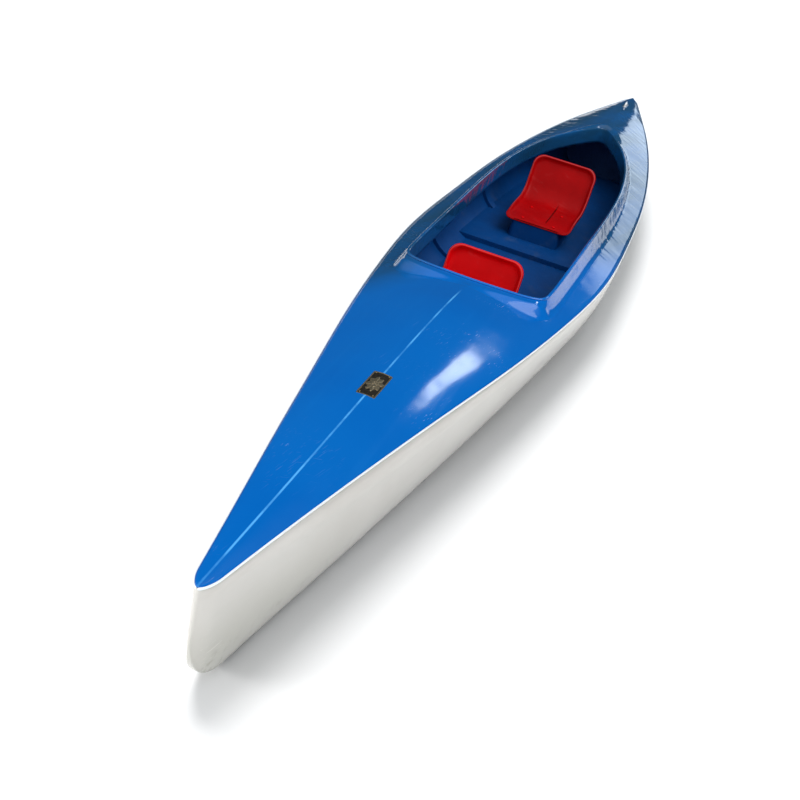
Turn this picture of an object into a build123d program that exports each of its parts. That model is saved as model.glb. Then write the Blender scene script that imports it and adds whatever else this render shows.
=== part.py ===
"""Two-seat decked touring canoe in glass fibre, built as separate pieces.

Millimetres. +X points to the bow, +Y to port, +Z up. The origin is on the centre
line, amidships, at the lowest point of the keel.
"""
import math
import os

from build123d import *

os.makedirs("parts", exist_ok=True)

# ---------------------------------------------------------------- overall sizes
LENGTH = 5200.0            # stem to stern
BEAM = 828.0               # over the moulded deck edge
DEPTH = 370.0              # keel to foredeck ridge
SKIN = 3.2                 # glass-fibre laminate

# ---------------------------------------------------------------- hull lines
# Each table runs from stern (-1) to bow (+1) of the half length.
HALF_BREADTH = [           # share of the half beam at the deck edge
    (-1.0, 0.050), (-0.904, 0.240), (-0.769, 0.494), (-0.577, 0.757), (-0.385, 0.915),
    (-0.192, 0.985), (0.0, 1.0), (0.192, 0.893), (0.385, 0.722), (0.577, 0.512),
    (0.769, 0.300), (0.923, 0.130), (1.0, 0.050)]
SHEER = [                  # deck-edge height as a share of the depth
    (-1.0, 0.822), (-0.769, 0.745), (-0.577, 0.688), (-0.385, 0.650), (-0.192, 0.637),
    (0.0, 0.662), (0.192, 0.719), (0.385, 0.795), (0.577, 0.876), (0.769, 0.944),
    (1.0, 0.980)]
RIDGE = [                  # deck-ridge height as a share of the depth
    (-1.0, 0.846), (-0.769, 0.905), (-0.5, 0.925), (0.0, 0.915), (0.2, 0.920),
    (0.26, 0.945), (0.32, 0.980), (0.385, 1.0), (0.769, 1.0), (1.0, 1.0)]
KEEL = [                   # keel height as a share of the depth
    (-1.0, 0.060), (-0.85, 0.020), (-0.62, 0.0), (0.62, 0.0), (0.85, 0.012), (1.0, 0.040)]
FULLNESS = [               # exponent of the section's curve
    (-1.0, 2.6), (-0.8, 3.2), (-0.4, 3.0), (0.0, 3.0), (0.4, 3.5), (0.8, 4.2), (1.0, 2.6)]
FLAT_SHARE = 0.22          # flat of the bottom, share of the local half breadth
LEVEL_CUT = 0.6            # taken off the underside, so that the boat stands level
NOSE_LENGTH = 60.0         # stretch over which the ends round off in plan
FOREFOOT_LENGTH = 170.0    # stretch over which the keel sweeps up into the stem
FOREFOOT_RISE = 200.0
TIP_FILL = 4.0             # half breadth below which the ends are solid resin
CAMBER = 9.0               # outward swell of the deck between edge and ridge

HALF_LENGTH = LENGTH / 2
BODY_STATIONS = 31         # sections between the two ends
END_STEPS = (120.0, 80.0, 52.0, 34.0, 20.0, 10.0, 4.0, 1.0)   # back from each tip

# ---------------------------------------------------------------- cockpit
COCKPIT_FRONT = 0.215 * HALF_LENGTH
COCKPIT_REAR = -0.690 * HALF_LENGTH
COCKPIT_HALF = 0.335 * BEAM
COCKPIT_TAPER = [(0.30, 1.005), (0.52, 1.0), (0.68, 0.90), (0.82, 0.68), (0.93, 0.36)]
CORNER_REACH = 85.0
FRONT_BOW = 8.0
REAR_NOSE = 18.0
COAMING_TOP = 0.923 * DEPTH          # rim height amidships
COAMING_RAKE = 0.54                  # degrees, rim higher at the front
COAMING_WALL = 4.0
LIP_WIDTH = 13.0
LIP_THICK = 7.0
COAMING_SPREAD = 22.0                # how far the upstand's foot stands out at full depth
COAMING_DROP = 78.0                  # depth of the upstand below the rim

# ---------------------------------------------------------------- floor
FLOOR_T = 4.0
FRONT_FLOOR_Z = 30.0
REAR_FLOOR_Z = 52.0
STEP_X = -0.197 * HALF_LENGTH
FLOOR_FRONT_X = 0.52 * HALF_LENGTH
FLOOR_REAR_X = -0.70 * HALF_LENGTH

# ---------------------------------------------------------------- seats
SEAT_WIDTH = 312.0
SEAT_SKIN = 5.0
SEAT_RIM = 24.0                      # depth of the raised border
SEAT_HEIGHT = 195.0                  # pan underside to top of the back
SEAT_LENGTH = 415.0
BACK_LEAN = 88.0                     # how far the back leans aft
SEAT_CORNER = 52.0
SEAT_BEND = 95.0
SEAT_EDGE = 7.0                      # thickness of the border's walls
SEAT_FRONT_CORNER = 3.0
REAR_SEAT_X = -0.412 * HALF_LENGTH   # aft edge of the rear seat's back
FRONT_SEAT_X = 0.080 * HALF_LENGTH
SEAT_OFFSET = -30.0                  # both seats sit a little to starboard
REAR_PEDESTAL_H = 82.0
FRONT_PEDESTAL_H = 86.0
PEDESTAL_LENGTH = 230.0
PEDESTAL_WIDTH = 226.0
PEDESTAL_WALL = 4.0
PEDESTAL_CORNER = 24.0
PEDESTAL_DRAFT = 5.0
PEDESTAL_CENTRE = 296.0              # ahead of the seat's aft edge
SEAT_BOLT_R = 3.0
SEAT_BOLT_HEAD_R = 7.0
SEAT_BOLT_HEAD_H = 3.5
SEAT_BOLT_X = 160.0                  # bolt spacing along the boat
SEAT_BOLT_Y = 150.0                  # bolt spacing across
HOLE_CLEARANCE = 0.3

# ---------------------------------------------------------------- foot bar
BAR_X = 0.46 * HALF_LENGTH
BAR_Z = 120.0
BAR_TRAVEL = 90.0                    # each way
BAR_R = 14.0
RAIL_H = 26.0
RAIL_T = 6.0
CARRIER_LENGTH = 56.0
CARRIER_WALL = 6.0
SLIDE_CLEARANCE = 0.25
RAIL_END = 40.0
RAIL_STANDOFF = 34.0
BRACKET_LENGTH = 24.0
KNOB_R = 13.0
KNOB_H = 12.0
KNOB_LOBES = 8
KNOB_SHANK_R = 4.0
NUT_R = 6.0
NUT_H = 5.0

# ---------------------------------------------------------------- deck fittings
STRIP_WIDTH = 3.0
STRIP_HEIGHT = 11.0
STRIP_BELOW = 0.6                    # share of the strip's height below the joint
EMBLEM_X = 0.592 * HALF_LENGTH
EMBLEM_LENGTH = 150.0
EMBLEM_WIDTH = 60.0
EMBLEM_RISE = 3.5
EMBLEM_CORNER = 4.0
PIN_R = 3.0
PIN_H = 2.5
PIN_INSET = 9.0
EYE_X = -0.905 * HALF_LENGTH
EYE_SPAN = 40.0
EYE_R = 4.0
EYE_BASE = 92.0
EYE_BASE_W = 20.0
EYE_PAD_T = 3.0
EYE_SKIRT = 8.0
EYE_SCREW_X = 68.0
EYE_SCREW_R = 2.5
BLOCK_BOW = (0.70 * HALF_LENGTH, 0.93 * HALF_LENGTH)
BLOCK_STERN = (-0.93 * HALF_LENGTH, -0.76 * HALF_LENGTH)
STIFFENER_X = (-0.36 * HALF_LENGTH, -0.10 * HALF_LENGTH)
STIFFENER_WIDTH = 46.0
STIFFENER_DEPTH = 14.0
STIFFENER_TOP = 0.55 * DEPTH


def along(table, x):
    """Smooth value of a table at x, by cubic Hermite pieces."""
    u = max(-1.0, min(1.0, x / HALF_LENGTH))
    i = max(k for k in range(len(table) - 1) if table[k][0] <= u)

    def slope(k):
        lo, hi = max(k - 1, 0), min(k + 1, len(table) - 1)
        return (table[hi][1] - table[lo][1]) / (table[hi][0] - table[lo][0])

    (u0, v0), (u1, v1) = table[i], table[i + 1]
    h = u1 - u0
    t = (u - u0) / h
    a = (1 + 2 * t) * (1 - t) ** 2 * v0 + t * t * (3 - 2 * t) * v1
    return a + h * t * (1 - t) * ((1 - t) * slope(i) - t * slope(i + 1))


def rounding(x, reach):
    """0 away from the ends, rising to 1 at the tip over the given reach."""
    past = max(0.0, abs(x) - (HALF_LENGTH - reach)) / reach
    return 1 - math.sqrt(max(0.0, 1 - past * past))


def half_breadth(x, inset=0.0):
    body = along(HALF_BREADTH, x) * BEAM / 2 * (1 - 0.92 * rounding(x, NOSE_LENGTH))
    return max(body - inset, 1.5)


def keel_height(x):
    low = max(0.0, along(KEEL, x) * DEPTH) - LEVEL_CUT
    return low + FOREFOOT_RISE * rounding(x, FOREFOOT_LENGTH)


def sheer_height(x):
    return along(SHEER, x) * DEPTH


def ridge_height(x):
    return along(RIDGE, x) * DEPTH


def stations(inset=0.0):
    """Station positions, leaving out tips too fine for the inset."""
    reach = HALF_LENGTH - FOREFOOT_LENGTH
    body = [reach * (2 * k / (BODY_STATIONS - 1) - 1) for k in range(BODY_STATIONS)]
    ends = [HALF_LENGTH - s for s in END_STEPS] + [HALF_LENGTH]
    every = [-x for x in reversed(ends)] + body + ends
    return [x for x in every if not inset or half_breadth(x) > inset + TIP_FILL]


def section_plane(x):
    return Plane(origin=(x, 0, 0), x_dir=(0, 1, 0), z_dir=(1, 0, 0))


def hull_side(x, inset, steps=8):
    """Points of the port side of a section, from the deck edge to the bottom."""
    breadth = half_breadth(x, inset)
    flat = breadth * FLAT_SHARE
    top, low = sheer_height(x), keel_height(x) + inset
    n = along(FULLNESS, x)
    points = []
    for k in range(steps + 1):
        angle = math.pi / 2 * (1 - k / steps)
        y = flat + (breadth - flat) * math.sin(angle) ** (2 / n)
        points.append((y, top - (top - low) * math.cos(angle) ** (2 / n)))
    return points


def hull_form(inset=0.0, extra=0.0):
    """Closed hull volume up to the deck edge, drawn in by the inset."""
    with BuildPart() as form:
        for x in stations(inset):
            port = hull_side(x, inset)
            edge, top = port[0][0], port[0][1] + extra
            star = [(-y, z) for y, z in reversed(port)]
            with BuildSketch(section_plane(x)):
                with BuildLine():
                    Spline(*port)
                    Line(port[-1], star[0])
                    Spline(*star)
                    if extra:
                        Line(star[-1], (-edge, top))
                    Line((-edge, top), (edge, top))
                    if extra:
                        Line((edge, top), port[0])
                make_face()
        loft(ruled=True)
    return form.part


def deck_form(inset=0.0, extra=0.0):
    """Closed volume between the deck edge and the deck's skin."""
    with BuildPart() as form:
        for x in stations(inset):
            edge = half_breadth(x, inset)
            low = sheer_height(x)
            top = ridge_height(x)
            swell = CAMBER * min(1.0, (top - low) / 40.0)
            roof = []
            for k in range(5):
                t = k / 4
                rise = (top - low) * t + swell * math.sin(math.pi * t)
                roof.append((edge * (1 - t), low + rise - 1.05 * inset))
            star = [(-y, z) for y, z in reversed(roof)]
            with BuildSketch(section_plane(x)):
                with BuildLine():
                    Spline(*roof)
                    Spline(*star)
                    if extra:
                        Line(star[-1], (-edge, low - extra))
                    Line((-edge, low - extra), (edge, low - extra))
                    if extra:
                        Line((edge, low - extra), roof[0])
                make_face()
        loft(ruled=True)
    return form.part


def save(part, name):
    part.label = name
    export_step(part, f"parts/{name}.step")


# ================================================================ hull and deck
hull_outer = hull_form()
cavity = hull_form(SKIN, extra=30.0)
deck_outer = deck_form()
deck_inner = deck_form(SKIN, extra=30.0)

with BuildPart() as hull_shell:
    add(hull_outer)
    add(cavity, mode=Mode.SUBTRACT)
    with Locations((0, 0, -SKIN / 2)):
        Box(LENGTH, BEAM, SKIN, mode=Mode.SUBTRACT)
save(hull_shell.part, "hull_shell")

RIM_PLANE = Plane(
    origin=(0, 0, COAMING_TOP),
    x_dir=(math.cos(math.radians(COAMING_RAKE)), 0, math.sin(math.radians(COAMING_RAKE))),
    z_dir=(-math.sin(math.radians(COAMING_RAKE)), 0, math.cos(math.radians(COAMING_RAKE))))


def cockpit_side(grow):
    """Port side of the cockpit's edge, front corner to rear, moved outwards by grow."""
    length = COCKPIT_FRONT - COCKPIT_REAR
    side = [(COCKPIT_FRONT - CORNER_REACH, COCKPIT_HALF * 0.975)]
    side += [(COCKPIT_FRONT - share * length, COCKPIT_HALF * width)
             for share, width in COCKPIT_TAPER]
    side.append((COCKPIT_REAR + REAR_NOSE, 1.3 * REAR_NOSE))
    before = [(side[0][0] + 1, side[0][1])] + side[:-1]
    after = side[1:] + [(COCKPIT_REAR, 0.2 * REAR_NOSE)]
    moved = []
    for (x, y), (xb, yb), (xa, ya) in zip(side, before, after):
        run, rise = xa - xb, ya - yb
        size = math.hypot(run, rise)
        moved.append((x + grow * rise / size, y - grow * run / size))
    return moved


def cockpit_sketch(plane, grow=0.0):
    """Face inside the cockpit's edge, grown outwards, on a plane."""
    side = cockpit_side(grow)
    front, beside = COCKPIT_FRONT + grow, COCKPIT_HALF - 1.1 * CORNER_REACH
    corner = (COCKPIT_FRONT - 0.33 * CORNER_REACH + 0.7 * grow,
              COCKPIT_HALF - 0.34 * CORNER_REACH + 0.7 * grow)
    with BuildSketch(plane) as outline:
        with BuildLine():
            for sign in (1, -1):
                Spline(*[(x, sign * y) for x, y in side])
                ThreePointArc((side[0][0], sign * side[0][1]), (corner[0], sign * corner[1]),
                              (front - FRONT_BOW, sign * beside))
                Line((front - FRONT_BOW, sign * beside), (front, 0))
            ThreePointArc(side[-1], (COCKPIT_REAR - grow, 0), (side[-1][0], -side[-1][1]))
        make_face()
    return outline.sketch


with BuildPart() as opening:
    extrude(cockpit_sketch(RIM_PLANE.offset(60), COAMING_WALL), amount=-220)

with BuildPart() as deck_shell:
    add(deck_outer)
    add(deck_inner, mode=Mode.SUBTRACT)
    add(opening.part, mode=Mode.SUBTRACT)
save(deck_shell.part, "deck_shell")


# ================================================================ cockpit rim
with BuildPart() as cockpit_coaming:
    loft([cockpit_sketch(RIM_PLANE, COAMING_WALL + 2.0).face(),
          cockpit_sketch(RIM_PLANE.offset(-COAMING_DROP), COAMING_WALL + COAMING_SPREAD).face()],
         ruled=True)
    extrude(cockpit_sketch(RIM_PLANE, LIP_WIDTH), amount=-LIP_THICK)
    add(deck_outer, mode=Mode.SUBTRACT)
    extrude(cockpit_sketch(RIM_PLANE, COAMING_WALL), amount=-COAMING_DROP)
    extrude(cockpit_sketch(RIM_PLANE.offset(20)), amount=-COAMING_DROP - 60, mode=Mode.SUBTRACT)
save(cockpit_coaming.part, "cockpit_coaming")


# ================================================================ deck-edge strips
def edge_strip(sign):
    """Joint strip along one side, lying on the hull's edge."""
    with BuildPart() as strip:
        for x in stations():
            edge = half_breadth(x)
            low = sheer_height(x) - STRIP_HEIGHT * STRIP_BELOW
            corners = [(edge, low), (edge + STRIP_WIDTH, low),
                       (edge + STRIP_WIDTH, low + STRIP_HEIGHT), (edge, low + STRIP_HEIGHT)]
            with BuildSketch(section_plane(x)):
                with BuildLine():
                    Polyline(*[(sign * y, z) for y, z in corners], close=True)
                make_face()
        loft(ruled=True)
    return strip.part


strip_port = edge_strip(1)
strip_starboard = edge_strip(-1)
save(strip_port, "sheer_strip_port")
save(strip_starboard, "sheer_strip_starboard")


# ================================================================ inside the hull
def slab(x0, x1, z0, z1, half=None):
    """Box between two stations and two heights."""
    width = 2 * (half or BEAM)
    with BuildPart() as block:
        with Locations(((x0 + x1) / 2, 0, (z0 + z1) / 2)):
            Box(abs(x1 - x0), width, abs(z1 - z0))
    return block.part


with BuildPart() as front_floor:
    add(cavity)
    add(slab(STEP_X - FLOOR_T, FLOOR_FRONT_X, FRONT_FLOOR_Z - FLOOR_T, FRONT_FLOOR_Z),
        mode=Mode.INTERSECT)
save(front_floor.part, "front_floor")

with BuildPart() as rear_floor:
    add(cavity)
    add(slab(FLOOR_REAR_X, STEP_X, FRONT_FLOOR_Z, REAR_FLOOR_Z), mode=Mode.INTERSECT)
    add(slab(FLOOR_REAR_X - FLOOR_T, STEP_X - FLOOR_T, FRONT_FLOOR_Z - FLOOR_T,
             REAR_FLOOR_Z - FLOOR_T), mode=Mode.SUBTRACT)
save(rear_floor.part, "rear_floor")

stiffener_core = hull_form(SKIN + STIFFENER_DEPTH, extra=40.0)
with BuildPart() as side_stiffeners:
    for x in STIFFENER_X:
        add(slab(x - STIFFENER_WIDTH / 2, x + STIFFENER_WIDTH / 2,
                 REAR_FLOOR_Z if x < STEP_X else FRONT_FLOOR_Z, STIFFENER_TOP))
    add(cavity, mode=Mode.INTERSECT)
    add(stiffener_core, mode=Mode.SUBTRACT)
save(side_stiffeners.part, "side_stiffeners")


def buoyancy(ends):
    top = sheer_height(min(ends, key=abs)) - 0.06 * DEPTH
    with BuildPart() as block:
        add(cavity)
        add(slab(*ends, 0, top), mode=Mode.INTERSECT)
    return block.part


bow_buoyancy_block = buoyancy(BLOCK_BOW)
stern_buoyancy_block = buoyancy(BLOCK_STERN)
save(bow_buoyancy_block, "bow_buoyancy_block")
save(stern_buoyancy_block, "stern_buoyancy_block")


# ================================================================ seats
def seat_block(near, far, trim, half_width, corner, front_over=0.0):
    """Bent slab following the seat's back and pan, between two depths."""
    length = math.hypot(BACK_LEAN, SEAT_HEIGHT)
    along_x, along_z = BACK_LEAN / length, -SEAT_HEIGHT / length
    out_x, out_z = -along_z, along_x

    def back_point(depth, run):
        return (out_x * depth + along_x * run, SEAT_HEIGHT + out_z * depth + along_z * run)

    def bend(depth):
        x0, z0 = back_point(depth, 0)
        run = (z0 - depth) / -along_z
        return (x0 + along_x * run, depth)

    front = SEAT_LENGTH + front_over
    with BuildPart() as block:
        with BuildSketch(Plane.XZ) as side:
            with BuildLine():
                Polyline(back_point(near, trim), bend(near), (front, near), (front, far),
                         bend(far), back_point(far, trim), close=True)
            make_face()
            bends = side.vertices().sort_by_distance((bend(near)[0], 0, near))[0:1]
            fillet(bends, radius=SEAT_BEND + far - near)
            bends = side.vertices().sort_by_distance((bend(far)[0], 0, far))[0:1]
            fillet(bends, radius=SEAT_BEND)
        extrude(amount=half_width, both=True)
        top = back_point((near + far) / 2, trim)
        upper = block.edges().filter_by(lambda e: abs(abs(e.center().Y) - half_width) < 0.1)
        upper = upper.sort_by_distance((top[0], half_width, top[1]))
        fillet([upper[0], block.edges().sort_by_distance((top[0], -half_width, top[1]))[0]],
               radius=corner)
    return block.part


seat_outer = seat_block(0, SEAT_RIM, 0, SEAT_WIDTH / 2, SEAT_CORNER)
seat_hollow = seat_block(SEAT_SKIN, SEAT_RIM + 8, SEAT_EDGE, SEAT_WIDTH / 2 - SEAT_EDGE,
                         SEAT_CORNER - SEAT_EDGE, front_over=20)
BOLT_SPOTS = [(PEDESTAL_CENTRE + i * SEAT_BOLT_X / 2, j * SEAT_BOLT_Y / 2)
              for i in (-1, 1) for j in (-1, 1)]


def seat(x, base):
    with BuildPart() as shell:
        add(seat_outer)
        add(seat_hollow, mode=Mode.SUBTRACT)
        front = shell.edges().filter_by(Axis.Z).group_by(Axis.X)[-1]
        fillet(front, radius=SEAT_FRONT_CORNER)
        with Locations(*[(u, v, 0) for u, v in BOLT_SPOTS]):
            Cylinder(SEAT_BOLT_R + HOLE_CLEARANCE, 4 * SEAT_SKIN, mode=Mode.SUBTRACT)
    return shell.part.moved(Location((x, SEAT_OFFSET, base)))


def pedestal(x, base, height):
    """Hollow moulded support, open below, with a top that takes the seat."""
    spread = 2 * math.tan(math.radians(PEDESTAL_DRAFT)) * height
    with BuildPart() as support:
        for inset, top in ((0.0, height), (PEDESTAL_WALL, height - PEDESTAL_WALL)):
            with BuildSketch(Plane.XY):
                RectangleRounded(PEDESTAL_LENGTH + spread - 2 * inset,
                                 PEDESTAL_WIDTH + spread - 2 * inset, PEDESTAL_CORNER)
            extrude(amount=top, taper=PEDESTAL_DRAFT,
                    mode=Mode.SUBTRACT if inset else Mode.ADD)
        with Locations(*[(u - PEDESTAL_CENTRE, v, height) for u, v in BOLT_SPOTS]):
            Cylinder(SEAT_BOLT_R + HOLE_CLEARANCE, 4 * PEDESTAL_WALL, mode=Mode.SUBTRACT)
    return support.part.moved(Location((x + PEDESTAL_CENTRE, SEAT_OFFSET, base)))


def seat_bolts(x, base):
    length = SEAT_SKIN + PEDESTAL_WALL + NUT_H + 3
    with BuildPart() as bolts:
        with Locations(*[(u, v, SEAT_SKIN) for u, v in BOLT_SPOTS]):
            Cylinder(SEAT_BOLT_R, length, align=(Align.CENTER, Align.CENTER, Align.MAX))
            Cylinder(SEAT_BOLT_HEAD_R, SEAT_BOLT_HEAD_H,
                     align=(Align.CENTER, Align.CENTER, Align.MIN))
        rims = bolts.edges().filter_by(GeomType.CIRCLE).group_by(Axis.Z)[-1]
        fillet(rims, radius=0.55 * SEAT_BOLT_HEAD_H)
    return bolts.part.moved(Location((x, SEAT_OFFSET, base)))


def seat_nuts(x, base):
    with BuildPart() as nuts:
        with BuildSketch(Plane.XY.offset(-PEDESTAL_WALL)):
            with Locations(*BOLT_SPOTS):
                RegularPolygon(NUT_R, 6)
                Circle(SEAT_BOLT_R, mode=Mode.SUBTRACT)
        extrude(amount=-NUT_H)
    return nuts.part.moved(Location((x, SEAT_OFFSET, base)))


for name, x, floor_z, height in (
        ("front", FRONT_SEAT_X, FRONT_FLOOR_Z, FRONT_PEDESTAL_H),
        ("rear", REAR_SEAT_X, REAR_FLOOR_Z, REAR_PEDESTAL_H)):
    save(pedestal(x, floor_z, height), f"{name}_seat_pedestal")
    save(seat(x, floor_z + height), f"{name}_seat_shell")
    save(seat_bolts(x, floor_z + height), f"{name}_seat_bolts")
    save(seat_nuts(x, floor_z + height), f"{name}_seat_nuts")


# ================================================================ foot bar
def breadth_at(x, z):
    """Half breadth of the hull's outside at a height below the deck edge."""
    breadth = half_breadth(x)
    flat = breadth * FLAT_SHARE
    top, low = sheer_height(x), keel_height(x)
    n = along(FULLNESS, x)
    cosine = min(1.0, max(0.0, (top - z) / (top - low))) ** (n / 2)
    return flat + (breadth - flat) * math.sqrt(1 - cosine * cosine) ** (2 / n)


RAIL_HALF = BAR_TRAVEL + CARRIER_LENGTH / 2 + RAIL_END
RAIL_Y = breadth_at(BAR_X + RAIL_HALF, BAR_Z) - RAIL_STANDOFF


def foot_rail(sign):
    with BuildPart() as rail:
        with Locations((BAR_X, sign * RAIL_Y, BAR_Z)):
            Box(2 * RAIL_HALF, RAIL_T, RAIL_H)
        for end in (-1, 1):
            x = BAR_X + end * (RAIL_HALF - BRACKET_LENGTH / 2)
            with Locations((x, sign * (RAIL_Y + BEAM / 4), BAR_Z)):
                Box(BRACKET_LENGTH, BEAM / 2, RAIL_H)
        add(cavity, mode=Mode.INTERSECT)
    return rail.part


save(foot_rail(1), "foot_rail_port")
save(foot_rail(-1), "foot_rail_starboard")

CARRIER_H = RAIL_H + 2 * (SLIDE_CLEARANCE + CARRIER_WALL)
with BuildPart() as foot_bar:
    with Locations((BAR_X, 0, BAR_Z)):
        Cylinder(BAR_R, 2 * (RAIL_Y - RAIL_T / 2 - CARRIER_WALL), rotation=(90, 0, 0))
    for sign in (-1, 1):
        with Locations((BAR_X, sign * RAIL_Y, BAR_Z)):
            Box(CARRIER_LENGTH, RAIL_T + 2 * (SLIDE_CLEARANCE + CARRIER_WALL), CARRIER_H)
            Box(2 * CARRIER_LENGTH, RAIL_T + 2 * SLIDE_CLEARANCE,
                RAIL_H + 2 * SLIDE_CLEARANCE, mode=Mode.SUBTRACT)
            with Locations((0, 0, CARRIER_H / 2)):
                Cylinder(KNOB_SHANK_R, 2 * CARRIER_WALL + 2, mode=Mode.SUBTRACT)
save(foot_bar.part, "foot_bar")

with BuildPart() as foot_bar_knobs:
    with Locations(*[(BAR_X, sign * RAIL_Y, BAR_Z + CARRIER_H / 2) for sign in (-1, 1)]):
        Cylinder(KNOB_SHANK_R, CARRIER_WALL, align=(Align.CENTER, Align.CENTER, Align.MAX))
    for sign in (-1, 1):
        with BuildSketch(Plane.XY.offset(BAR_Z + CARRIER_H / 2)):
            with Locations((BAR_X, sign * RAIL_Y)):
                Circle(KNOB_R)
                with PolarLocations(KNOB_R, KNOB_LOBES):
                    Circle(KNOB_R * 0.22, mode=Mode.SUBTRACT)
    extrude(amount=KNOB_H)
save(foot_bar_knobs.part, "foot_bar_knobs")


# ================================================================ deck fittings
emblem_top = deck_outer.moved(Location((0, 0, EMBLEM_RISE)))
with BuildPart() as emblem_plate:
    with BuildSketch(Plane.XY):
        with Locations((EMBLEM_X, 0)):
            RectangleRounded(EMBLEM_LENGTH, EMBLEM_WIDTH, EMBLEM_CORNER)
    extrude(amount=2 * DEPTH)
    add(emblem_top, mode=Mode.INTERSECT)
    add(deck_outer, mode=Mode.SUBTRACT)
save(emblem_plate.part, "emblem_plate")


def deck_height(x, y):
    """Height of the deck's outside."""
    t = 1 - abs(y) / half_breadth(x)
    low, top = sheer_height(x), ridge_height(x)
    swell = CAMBER * min(1.0, (top - low) / 40.0)
    return low + (top - low) * t + swell * math.sin(math.pi * t)


PIN_SPOTS = [(EMBLEM_X + i * (EMBLEM_LENGTH / 2 - PIN_INSET),
              j * (EMBLEM_WIDTH / 2 - PIN_INSET)) for i in (-1, 1) for j in (-1, 1)]
with BuildPart() as emblem_pins:
    for x, y in PIN_SPOTS:
        with Locations((x, y, deck_height(x, y) + EMBLEM_RISE)):
            Cylinder(PIN_R, 2 * PIN_H)
    fillet(emblem_pins.edges().filter_by(GeomType.CIRCLE).filter_by(
        lambda e: e.center().Z > deck_height(e.center().X, e.center().Y) + EMBLEM_RISE),
        radius=0.6 * PIN_H)
    add(emblem_top, mode=Mode.SUBTRACT)
save(emblem_pins.part, "emblem_pins")

EYE_Z = ridge_height(EYE_X)
with BuildPart() as stern_eye:
    with BuildSketch(Plane.XY.offset(EYE_Z - EYE_SKIRT)):
        with Locations((EYE_X, 0)):
            SlotOverall(EYE_BASE, EYE_BASE_W)
    extrude(amount=EYE_SKIRT + EYE_PAD_T)
    with BuildLine(Plane.XZ):
        CenterArc((EYE_X, EYE_Z), EYE_SPAN / 2, 0, 180)
    with BuildSketch(Plane(origin=(EYE_X + EYE_SPAN / 2, 0, EYE_Z), z_dir=(0, 0, 1))):
        Circle(EYE_R)
    sweep()
    add(deck_outer, mode=Mode.SUBTRACT)
    with Locations(*[(EYE_X + i * EYE_SCREW_X / 2, 0, EYE_Z) for i in (-1, 1)]):
        Cylinder(EYE_SCREW_R + HOLE_CLEARANCE, 6 * EYE_SKIRT, mode=Mode.SUBTRACT)
save(stern_eye.part, "stern_eye")

with BuildPart() as stern_eye_screws:
    with Locations(*[(EYE_X + i * EYE_SCREW_X / 2, 0, EYE_Z + EYE_PAD_T) for i in (-1, 1)]):
        Cylinder(EYE_SCREW_R, EYE_SKIRT, align=(Align.CENTER, Align.CENTER, Align.MAX))
        Cylinder(2 * EYE_SCREW_R, EYE_SCREW_R, align=(Align.CENTER, Align.CENTER, Align.MIN))
    fillet(stern_eye_screws.edges().filter_by(GeomType.CIRCLE).group_by(Axis.Z)[-1],
           radius=0.6 * EYE_SCREW_R)
    add(deck_outer, mode=Mode.SUBTRACT)
save(stern_eye_screws.part, "stern_eye_screws")
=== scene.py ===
"""Two-seat decked touring canoe: surfaces, finishes, floor, light and camera."""
from __future__ import annotations

import logging
import math
from dataclasses import dataclass, field
from enum import Enum
from typing import Any, Callable, Sequence

import bmesh
import bpy
import numpy as np
from mathutils import Matrix, Vector

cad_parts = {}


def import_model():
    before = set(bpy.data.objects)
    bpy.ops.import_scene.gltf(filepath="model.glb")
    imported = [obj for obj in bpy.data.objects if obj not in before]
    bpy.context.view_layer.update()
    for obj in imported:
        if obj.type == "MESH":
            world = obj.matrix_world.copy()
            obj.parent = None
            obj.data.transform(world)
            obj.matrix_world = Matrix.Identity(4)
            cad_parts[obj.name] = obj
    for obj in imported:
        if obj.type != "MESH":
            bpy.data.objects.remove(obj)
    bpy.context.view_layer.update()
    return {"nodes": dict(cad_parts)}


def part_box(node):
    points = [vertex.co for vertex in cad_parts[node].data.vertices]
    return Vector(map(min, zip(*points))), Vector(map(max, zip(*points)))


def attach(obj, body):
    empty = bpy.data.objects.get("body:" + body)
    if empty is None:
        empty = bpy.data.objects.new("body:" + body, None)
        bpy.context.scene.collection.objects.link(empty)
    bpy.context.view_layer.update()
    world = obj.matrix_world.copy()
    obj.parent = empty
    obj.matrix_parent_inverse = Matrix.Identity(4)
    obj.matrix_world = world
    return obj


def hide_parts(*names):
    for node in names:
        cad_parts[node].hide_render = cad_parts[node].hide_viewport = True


log = logging.getLogger("canoe")
Point = tuple[float, float, float]
Colour = tuple[float, float, float]
BOAT = "boat"


# ---- node trees
def add_node(tree: bpy.types.NodeTree, kind: str, settings: dict[str, Any] | None = None,
             inputs: dict[Any, Any] | None = None) -> bpy.types.Node:
    """Add a node to a tree.

    Args:
        tree: The tree.
        kind: The node's type name.
        settings: Properties that are set first.
        inputs: Values or links by socket name or number.

    Returns:
        The node.
    """
    node = tree.nodes.new(kind)
    for key, value in (settings or {}).items():
        setattr(node, key, value)
    for key, value in (inputs or {}).items():
        target = node.inputs[key]
        source = value.socket if isinstance(value, Signal) else value
        if isinstance(source, bpy.types.NodeSocket):
            tree.links.new(source, target)
        elif isinstance(source, tuple) and len(source) == 3 and target.type == "RGBA":
            target.default_value = (*source, 1.0)
        else:
            target.default_value = source
    return node


def arithmetic(operation: str, swapped: bool = False) -> Callable[..., "Signal"]:
    """Make a method that adds one Math node.

    Args:
        operation: The Math node's operation.
        swapped: Whether the other value comes first.

    Returns:
        The method, from signals or numbers to a signal.
    """
    def method(signal: "Signal", *others: Any) -> "Signal":
        """Add the node and return its output."""
        values = (*others, signal) if swapped else (signal, *others)
        node = signal.bench.add("ShaderNodeMath", {"operation": operation},
                                dict(enumerate(values)))
        return Signal(signal.bench, node.outputs[0])

    return method


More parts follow.
